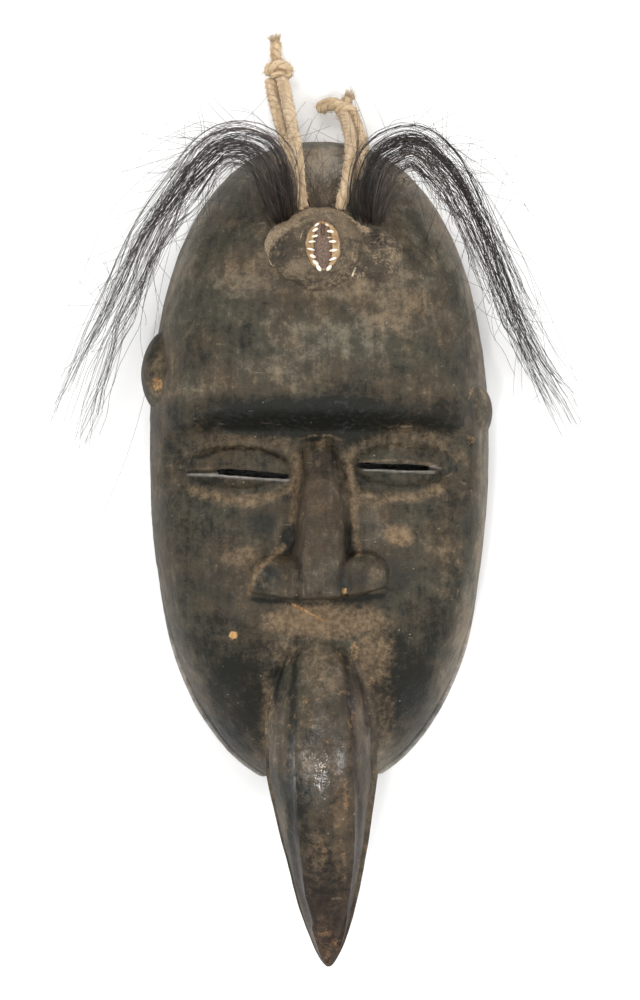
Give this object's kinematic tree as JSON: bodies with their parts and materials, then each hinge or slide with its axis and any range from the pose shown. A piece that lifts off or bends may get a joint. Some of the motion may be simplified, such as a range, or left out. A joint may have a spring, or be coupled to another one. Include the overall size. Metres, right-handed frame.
{
  "type": "beak mask",
  "caption": "Hollow carved wooden face mask with a long bird's beak, slit eyes, a shell set in resin on the forehead, hair tufts and knotted cord loops.",
  "frame": {"origin": "middle of the box round the wood, lump, shell and tufts, on the plane that the back rim lies on", "axes": "+Z out of the front of the face, +Y towards the forehead, +X to the right as the face is looked at"},
  "size_m": [0.214, 0.3714, 0.0865],
  "materials": {
    "carved_wood": "dark patina, worn and dusty",
    "resin": "dull, lumpy",
    "shell": "satin",
    "hair": "coarse dark hair",
    "jute": "twisted, fuzzy"
  },
  "bodies": {
    "root": {"carved_mask": "carved_wood", "forehead_mound": "resin", "cowrie_shell": "shell", "hair_tuft_left": "hair", "hair_tuft_right": "hair", "cord_left_front": "jute", "cord_left_rear": "jute", "knot_left": "jute", "cord_right_front": "jute", "cord_right_rear": "jute", "knot_right": "jute"}
  },
  "joints": []
}
